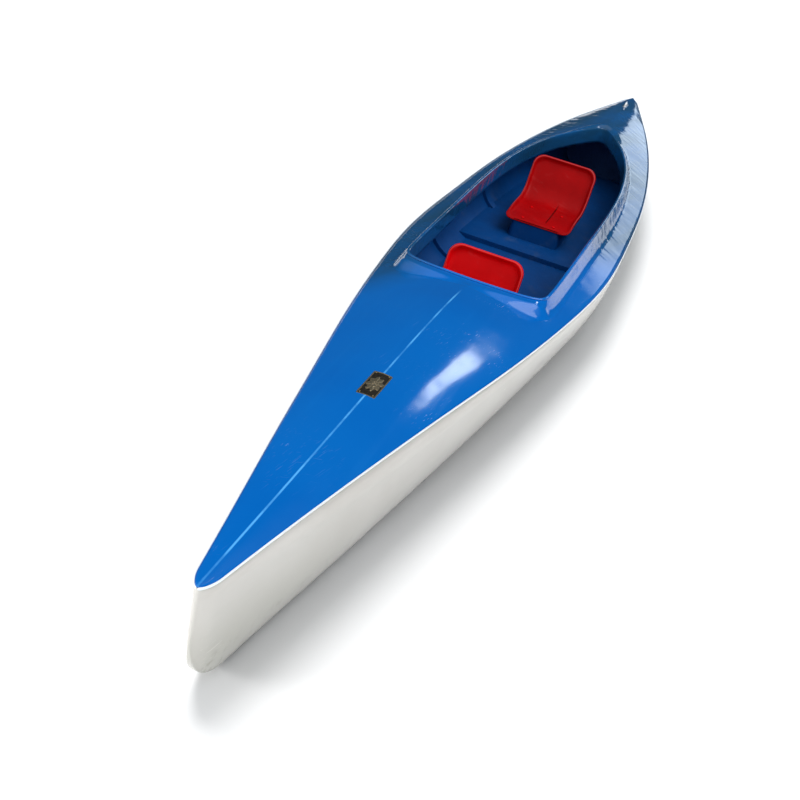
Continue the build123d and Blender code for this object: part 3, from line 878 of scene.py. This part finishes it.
@dataclass
class Coaming:
    """Cockpit rim: inner wall, rounded lip, upstand and a soft foot on the deck."""

    lines: Lines
    cockpit: Cockpit
    palette: Palette
    lip: float = 0.013
    lip_round: float = 0.0045
    drop: float = 0.078
    steps: int = 20

    def profile(self, x: float, y: float, normal: Sequence[float]) -> list[Point]:
        """Section of the rim at one point of the outline.

        Args:
            x: Outline point along the boat.
            y: Outline point across.
            normal: Outward direction in plan.

        Returns:
            Points from the foot of the inner wall over the lip to the deck.
        """
        top = self.cockpit.rim(x)

        def at(out: float, z: float) -> Point:
            return (x + normal[0] * out, y + normal[1] * out, z)

        points = [at(0.0, top - self.drop + 0.012 * k) for k in range(6)]
        r = self.lip_round
        for k in range(9):
            a = math.pi * (1 - k / 8)
            out = self.lip / 2 + (self.lip / 2) * math.cos(a)
            points.append(at(out, top - r + r * math.sin(a)))
        begin = self.lip - 0.0035
        lip_foot = top - r - 0.0025
        ahead = min(1.0, max(0.0, 1.6 * float(normal[0]) - 0.5))
        far = self.cockpit.reach(float(normal[0]))
        rise = lip_foot - self.ground(*at(begin, 0.0)[:2])
        for k in range(self.steps + 1):
            s = (k / self.steps) ** 1.25
            flare = (1 - s) ** 3 * (1 + 1.2 * s)
            fall = min(1.0, max(0.0, (s - 0.42) / 0.50))
            shoulder = 1 - fall * fall * (3 - 2 * fall)
            share = flare + (shoulder - flare) * ahead
            spot = at(begin + (far - begin) * s, 0.0)
            skin = self.ground(spot[0], spot[1])
            seal = 0.0005 * (1 - 3.0 * s ** 16)
            points.append((spot[0], spot[1], skin + share * rise + seal))
        return points

    def ground(self, x: float, y: float) -> float:
        """Height of the deck below a point of the collar."""
        room = self.lines.breadth(x) - 0.001
        return self.lines.deck(x, min(abs(y), room))

    def build(self) -> bpy.types.Object:
        """Return the coaming."""
        plan = self.cockpit.plan()
        normals = self.cockpit.outward(plan)
        points: list[Point] = []
        for (x, y), normal in zip(plan, normals):
            points += self.profile(x, y, normal)
        columns = len(points) // len(plan)
        faces = grid_faces(len(plan), columns)
        last = (len(plan) - 1) * columns
        faces += [(last + c, last + c + 1, c + 1, c) for c in range(columns - 1)]
        rim = mesh_piece("cockpit_rim", points, faces, [self.palette.deck])
        face_up(rim, lambda c, n: n.z)
        solid(rim, 0.0028, 0)
        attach(rim, BOAT)
        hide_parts("cockpit_coaming")
        return rim


# ---- edge strips
class Side(Enum):
    """The two sides of the boat."""

    PORT = 1
    STARBOARD = -1


@dataclass
class EdgeStrips:
    """Joint strips along the deck edge, swept by a node tree."""

    lines: Lines
    palette: Palette
    thickness: float = 0.003
    height: float = 0.0075
    below: float = 0.6

    def tree(self) -> bpy.types.NodeTree:
        """Node tree that sweeps a rounded band along the strip's line."""
        tree = bpy.data.node_groups.new("edge_strip_sweep", "GeometryNodeTree")
        face = tree.interface
        face.new_socket("Line", in_out="INPUT", socket_type="NodeSocketGeometry")
        for label in ("Thickness", "Height"):
            face.new_socket(label, in_out="INPUT", socket_type="NodeSocketFloat")
        face.new_socket("Finish", in_out="INPUT", socket_type="NodeSocketMaterial")
        face.new_socket("Strip", in_out="OUTPUT", socket_type="NodeSocketGeometry")
        given = add_node(tree, "NodeGroupInput").outputs
        curve = add_node(tree, "GeometryNodeMeshToCurve", None, {0: given["Line"]})
        up = add_node(tree, "GeometryNodeSetCurveNormal", {"mode": "Z_UP"},
                      {0: curve.outputs[0]})
        band = add_node(tree, "GeometryNodeCurvePrimitiveQuadrilateral", None,
                        {"Width": given["Thickness"], "Height": given["Height"]})
        soft = add_node(tree, "GeometryNodeFilletCurve", {"mode": "POLY"},
                        {"Curve": band.outputs[0], "Count": 4, "Radius": 0.0012})
        sweep = add_node(tree, "GeometryNodeCurveToMesh", None,
                         {"Curve": up.outputs[0], "Profile Curve": soft.outputs[0],
                          "Fill Caps": True})
        smooth = add_node(tree, "GeometryNodeSetShadeSmooth", None, {0: sweep.outputs[0]})
        real = add_node(tree, "GeometryNodeRealizeInstances", None, {0: smooth.outputs[0]})
        paint = add_node(tree, "GeometryNodeSetMaterial", None,
                         {"Geometry": real.outputs[0], "Material": given["Finish"]})
        add_node(tree, "NodeGroupOutput", None, {0: paint.outputs[0]})
        return tree

    def build(self) -> list[bpy.types.Object]:
        """Return both strips."""
        tree = self.tree()
        keys = {item.name: item.identifier for item in tree.interface.items_tree
                if item.in_out == "INPUT"}
        made = []
        xs = self.lines.stations(240)
        for side in Side:
            name = f"edge_strip_{side.name.lower()}"
            middle = self.height * (0.5 - self.below)
            inside = 1 - 0.55 * self.thickness / self.lines.half_length
            route = [(x * inside, side.value * (self.lines.breadth(x) + 0.48 * self.thickness),
                      self.lines.sheer(x) + middle) for x in xs]
            mesh = bpy.data.meshes.new(name)
            mesh.from_pydata(route, [(k, k + 1) for k in range(len(route) - 1)], [])
            strip = put(name, mesh)
            mod = strip.modifiers.new("sweep", "NODES")
            mod.node_group = tree
            mod[keys["Thickness"]] = self.thickness
            mod[keys["Height"]] = self.height
            mod[keys["Finish"]] = self.palette.strip
            settle(strip)
            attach(strip, BOAT)
            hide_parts(f"sheer_strip_{side.name.lower()}")
            made.append(strip)
        return made


# ---- seats
@dataclass
class Seat:
    """Moulded bucket seat with a rolled border on its back and sides."""

    node: str
    material: bpy.types.Material
    lean: float = 0.088
    rise: float = 0.195
    bend: float = 0.095
    skin: float = 0.005
    rim: float = 0.024
    corner: float = 0.052
    front_corner: float = 0.045
    front_fade: float = 0.16
    droop: float = 0.010
    droop_run: float = 0.05
    around: int = 40

    def bend_sizes(self) -> tuple[float, float, float, float, float, tuple[float, float]]:
        """Sizes of the side profile.

        Returns:
            Direction down the back along and up, the straight part of the back, the
            bend's radius, its turn and its centre.
        """
        slope = math.hypot(self.lean, self.rise)
        dx, dz = self.lean / slope, -self.rise / slope
        turn = math.pi / 2 - math.atan2(dx, -dz)
        radius = self.bend + self.rim
        first = slope - radius * math.tan(turn / 2)
        centre = (dx * first - dz * radius, self.rise + dz * first + dx * radius)
        return dx, dz, first, radius, turn, centre

    def place(self, run: float, depth: float) -> tuple[float, float]:
        """Point of the side profile.

        Args:
            run: Distance along the under surface, from the top of the back.
            depth: Height above it, towards the sitter.

        Returns:
            Distance ahead of the seat's aft edge and height above its base.
        """
        dx, dz, first, radius, turn, centre = self.bend_sizes()
        arc = radius * turn
        if run <= first:
            return dx * run - dz * depth, self.rise + dz * run + dx * depth
        if run <= first + arc:
            a = (run - first) / radius
            ca, sa = math.cos(a), math.sin(a)
            ox, oz = dz, -dx
            nx, nz = ox * ca - oz * sa, ox * sa + oz * ca
            keep = radius - depth
            return centre[0] + nx * keep, centre[1] + nz * keep
        rest = run - first - arc
        return centre[0] + rest, depth

    def length(self, total: float) -> float:
        """Developed length of the under surface for a seat that long."""
        _, _, first, radius, turn, centre = self.bend_sizes()
        return first + radius * turn + (total - centre[0])

    def ring(self, inset: float, half: float, length: float) -> list[tuple[float, float]]:
        """Rounded rectangle in the unrolled seat, inset from its edge."""
        loop = []
        a, b = length / 2 - inset, half - inset
        for cx, cy, start, r in ((1, 1, 0, self.front_corner), (-1, 1, 90, self.corner),
                                 (-1, -1, 180, self.corner), (1, -1, 270, self.front_corner)):
            r = max(r - inset * 0.7, min(0.012, b * 0.9))
            r = min(r, a, b)
            for k in range(self.around // 4 + 1):
                t = math.radians(start + 90 * k / (self.around // 4))
                loop.append((length / 2 + cx * (a - r) + r * math.cos(t),
                             cy * (b - r) + r * math.sin(t)))
        fine = []
        for k, (u, v) in enumerate(loop):
            nu, nv = loop[(k + 1) % len(loop)]
            parts = max(1, int(math.hypot(nu - u, nv - v) / 0.012)) if inset == 0 else 1
            fine += [(u + (nu - u) * i / parts, v + (nv - v) * i / parts) for i in range(parts)]
        return fine

    def build(self) -> bpy.types.Object:
        """Return the seat."""
        low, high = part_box(self.node)
        half = (high.y - low.y) / 2
        total = high.x - low.x
        length = self.length(total)
        base = self.ring(0.0, half, length)
        border = [(0.0, 0.012), (0.0, 0.019), (0.0015, 0.0225), (0.0045, 0.024),
                  (0.0085, 0.0235), (0.0115, 0.0205), (0.0135, 0.015), (0.0165, 0.0095),
                  (0.022, 0.0062), (0.030, 0.005)]
        flat = [(0.030 + (half - 0.0305) * k / 9, 0.005) for k in range(1, 10)]
        points: list[Point] = []
        edge: list[float] = []
        for inset, height in border + flat:
            for u, v in base:
                ui, vi = self.inset_point(u, v, inset, half, length)
                front = min(1.0, max(0.0, (length - ui) / self.front_fade))
                fade = front * front * (3 - 2 * front)
                lift = self.skin + (height - self.skin) * fade
                droop = self.droop * (1 - min(1.0, (length - ui) / self.droop_run)) ** 2
                x, z = self.place(ui, lift)
                points.append((low.x + x, vi + (low.y + high.y) / 2,
                               low.z + max(z - droop, 0.0)))
                # edge marks the top of the rolled border, where the seat material paints a
                # highlight.
                edge.append(max(0.0, min(1.0, (height - 0.0222) / 0.0015)) * fade
                            if inset < 0.008 else 0.0)
        columns = len(base)
        rows = len(border) + len(flat)
        faces = grid_faces(rows, columns, closed=True)
        seat = mesh_piece(self.node.replace("_shell", "_bucket"), points, faces,
                          [self.material], merge=0.0012,
                          values={"edge": edge})
        face_up(seat, lambda c, n: n.z + n.x)
        solid(seat, 0.0042)
        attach(seat, BOAT)
        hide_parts(self.node)
        return seat

    def inset_point(self, u: float, v: float, inset: float, half: float,
                    length: float) -> tuple[float, float]:
        """Move a border point inwards by scaling it towards the seat's spine.

        Args:
            u: Distance along the seat.
            v: Distance from its centre line.
            inset: How far in.
            half: Half width.
            length: Developed length.

        Returns:
            The inner point.
        """
        across = (half - inset) / half
        spine = length / 2 - half
        middle = min(max(u, length / 2 - spine), length / 2 + spine)
        return middle + (u - middle) * across, v * across


# ---- the rest of the frame
@dataclass
class Fittings:
    """CAD pieces whose shapes stay, with their finishes."""

    palette: Palette
    nodes: dict[str, bpy.types.Object]

    def dress(self) -> None:
        """Give each node its finish."""
        p = self.palette
        table = {
            "front_floor": p.inside, "rear_floor": p.inside, "side_stiffeners": p.inside,
            "front_seat_pedestal": p.inside, "rear_seat_pedestal": p.inside,
            "bow_buoyancy_block": p.foam, "stern_buoyancy_block": p.foam,
            "front_seat_bolts": p.cap, "rear_seat_bolts": p.cap,
            "front_seat_nuts": p.steel, "rear_seat_nuts": p.steel,
            "foot_rail_port": p.alloy, "foot_rail_starboard": p.alloy, "foot_bar": p.alloy,
            "foot_bar_knobs": p.black, "emblem_plate": p.emblem, "emblem_pins": p.bronze,
            "stern_eye": p.steel, "stern_eye_screws": p.steel,
            "hull_shell": p.hull, "deck_shell": p.deck, "cockpit_coaming": p.deck,
            "sheer_strip_port": p.strip, "sheer_strip_starboard": p.strip,
            "front_seat_shell": p.front_seat, "rear_seat_shell": p.rear_seat}
        for name, obj in self.nodes.items():
            for slot in obj.material_slots:
                slot.material = table[name]
            log.info("dressed %s with %s", name, table[name].name)


# ---- studio
@dataclass
class Studio:
    """Floor, lights and camera."""

    eye: Point = (4.468, 0.8183, 2.1442)
    right: Point = (-0.3494, 0.9162, 0.1964)
    upward: Point = (-0.4267, -0.3422, 0.8372)
    back: Point = (0.8342, 0.2087, 0.5105)
    lens: float = 54.0
    dim_sky: Colour = (0.035, 0.065, 0.095)
    bright_sky: Colour = (0.82, 0.83, 0.84)

    def floor(self) -> None:
        """Lay the pale floor."""
        size = 40.0
        mesh = bpy.data.meshes.new("studio_floor")
        mesh.from_pydata([(-size, -size, 0), (size, -size, 0), (size, size, 0),
                          (-size, size, 0)], [], [(0, 1, 2, 3)])
        floor = put("studio_floor", mesh)
        b = Bench("pale_floor")
        tone = b.noise(0.6, 3.0).ramp(0.3, 0.7)
        colour = b.blend(tone * 0.3, (0.90, 0.90, 0.90), (0.87, 0.87, 0.87))
        mesh.materials.append(b.finish(Base_Color=colour, Roughness=0.9,
                                       Specular_IOR_Level=0.1))

    def lamp(self, name: str, at: Point, aim: Point, size: tuple[float, float], power: float,
             colour: Colour = (1.0, 1.0, 1.0), mirrored: bool = True) -> None:
        """Hang a soft box.

        Args:
            name: Lamp name.
            at: Its place.
            aim: Point it faces.
            size: Width and height.
            power: Watts.
            colour: Light colour.
            mirrored: Whether polished surfaces mirror it.
        """
        data = bpy.data.lights.new(name, "AREA")
        data.shape, data.size, data.size_y = "RECTANGLE", *size
        data.energy, data.color = power, colour
        lamp = put(name, data)
        lamp.location = at
        lamp.rotation_euler = (Vector(aim) - Vector(at)).to_track_quat("-Z", "Y").to_euler()
        lamp.visible_camera = False
        lamp.visible_glossy = mirrored

    def sky(self) -> None:
        """Set the sky: bright overhead and past the bow, dim aft, pale to look at."""
        world = bpy.data.worlds.new("studio_sky")
        bpy.context.scene.world = world
        world.use_nodes = True
        tree = world.node_tree
        place = add_node(tree, "ShaderNodeTexCoord").outputs["Generated"]
        split = add_node(tree, "ShaderNodeSeparateXYZ", None, {0: place})
        shares = [add_node(tree, "ShaderNodeMapRange", {"interpolation_type": "SMOOTHSTEP"},
                           {"Value": split.outputs[axis], "From Min": low, "From Max": high})
                  for axis, low, high in (("Z", 0.62, 0.92), ("X", -0.30, 0.45))]
        bright = add_node(tree, "ShaderNodeMath", {"operation": "MAXIMUM", "use_clamp": True},
                          {0: shares[0].outputs[0], 1: shares[1].outputs[0]})
        seen = add_node(tree, "ShaderNodeLightPath").outputs["Is Camera Ray"]
        backdrop = add_node(tree, "ShaderNodeMath", {"operation": "MAXIMUM"},
                            {0: bright.outputs[0], 1: seen})
        tint = add_node(tree, "ShaderNodeMix", {"data_type": "RGBA"},
                        {"Factor": backdrop.outputs[0], 6: self.dim_sky, 7: self.bright_sky})
        sky = tree.nodes["Background"]
        tree.links.new(tint.outputs[2], sky.inputs[0])
        sky.inputs[1].default_value = 1.0

    def sun(self, name: str, travel: Point, energy: float, width: float,
            on_floor: bool) -> None:
        """Hang a wide sun that lights either the floor or everything on it.

        Args:
            name: Lamp name.
            travel: Direction its light travels.
            energy: Strength.
            width: Apparent width in degrees.
            on_floor: Whether it lights the floor instead of the boat.
        """
        data = bpy.data.lights.new(name, "SUN")
        data.energy, data.angle = energy, math.radians(width)
        sun = put(name, data)
        sun.rotation_euler = Vector(travel).to_track_quat("-Z", "Y").to_euler()
        lit = bpy.data.collections.new(name + "_receivers")
        lit.objects.link(bpy.data.objects["studio_floor"])
        sun.light_linking.receiver_collection = lit
        state = "INCLUDE" if on_floor else "EXCLUDE"
        lit.collection_objects[0].light_linking.link_state = state

    def light(self) -> None:
        """Hang the suns and the soft boxes."""
        self.sun("daylight", (-0.20, -0.60, -1.0), 2.0, 50, False)
        self.sun("floor_light", (0.26, 0.31, -1.0), 2.15, 28, True)
        self.lamp("window", (-3.97, 0.85, 3.30), (1.2, 0.14, 0.34), (0.50, 0.66), 9.5,
                  (0.84, 0.93, 1.0))
        self.lamp("pale_wall", (-4.4, 0.70, 1.20), (-0.9, 0.3, 0.3), (1.15, 1.4), 11,
                  (0.78, 0.90, 1.0))
        self.lamp("stem_fill", (4.6, -2.6, 1.1), (2.6, 0, 0.2), (1.2, 0.8), 75,
                  mirrored=False)

    def camera(self) -> None:
        """Place the camera."""
        data = bpy.data.cameras.new("camera")
        data.lens, data.sensor_width = self.lens, 36.0
        cam = put("camera", data)
        turn = Matrix((self.right, self.upward, self.back)).transposed().to_4x4()
        cam.matrix_world = Matrix.Translation(self.eye) @ turn
        bpy.context.scene.camera = cam

    def build(self) -> None:
        """Set up the whole studio."""
        self.floor()
        self.sky()
        self.light()
        self.camera()
        bpy.context.scene.view_settings.view_transform = "Standard"


def main() -> None:
    """Build the canoe and its studio."""
    logging.basicConfig(level=logging.INFO, format="%(name)s %(message)s")
    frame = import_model()
    palette = Palette()
    lines = Lines()
    cockpit = Cockpit()
    Fittings(palette, frame["nodes"]).dress()
    pieces = [HullMoulding(lines, palette).build(),
              DeckMoulding(lines, cockpit, palette).build(),
              Coaming(lines, cockpit, palette).build(),
              *EdgeStrips(lines, palette).build(),
              Seat("front_seat_shell", palette.front_seat).build(),
              Seat("rear_seat_shell", palette.rear_seat).build()]
    for piece in pieces:
        log.info("built %s with %d faces", piece.name, len(piece.data.polygons))
    Studio().build()


if __name__ == "__main__":
    main()
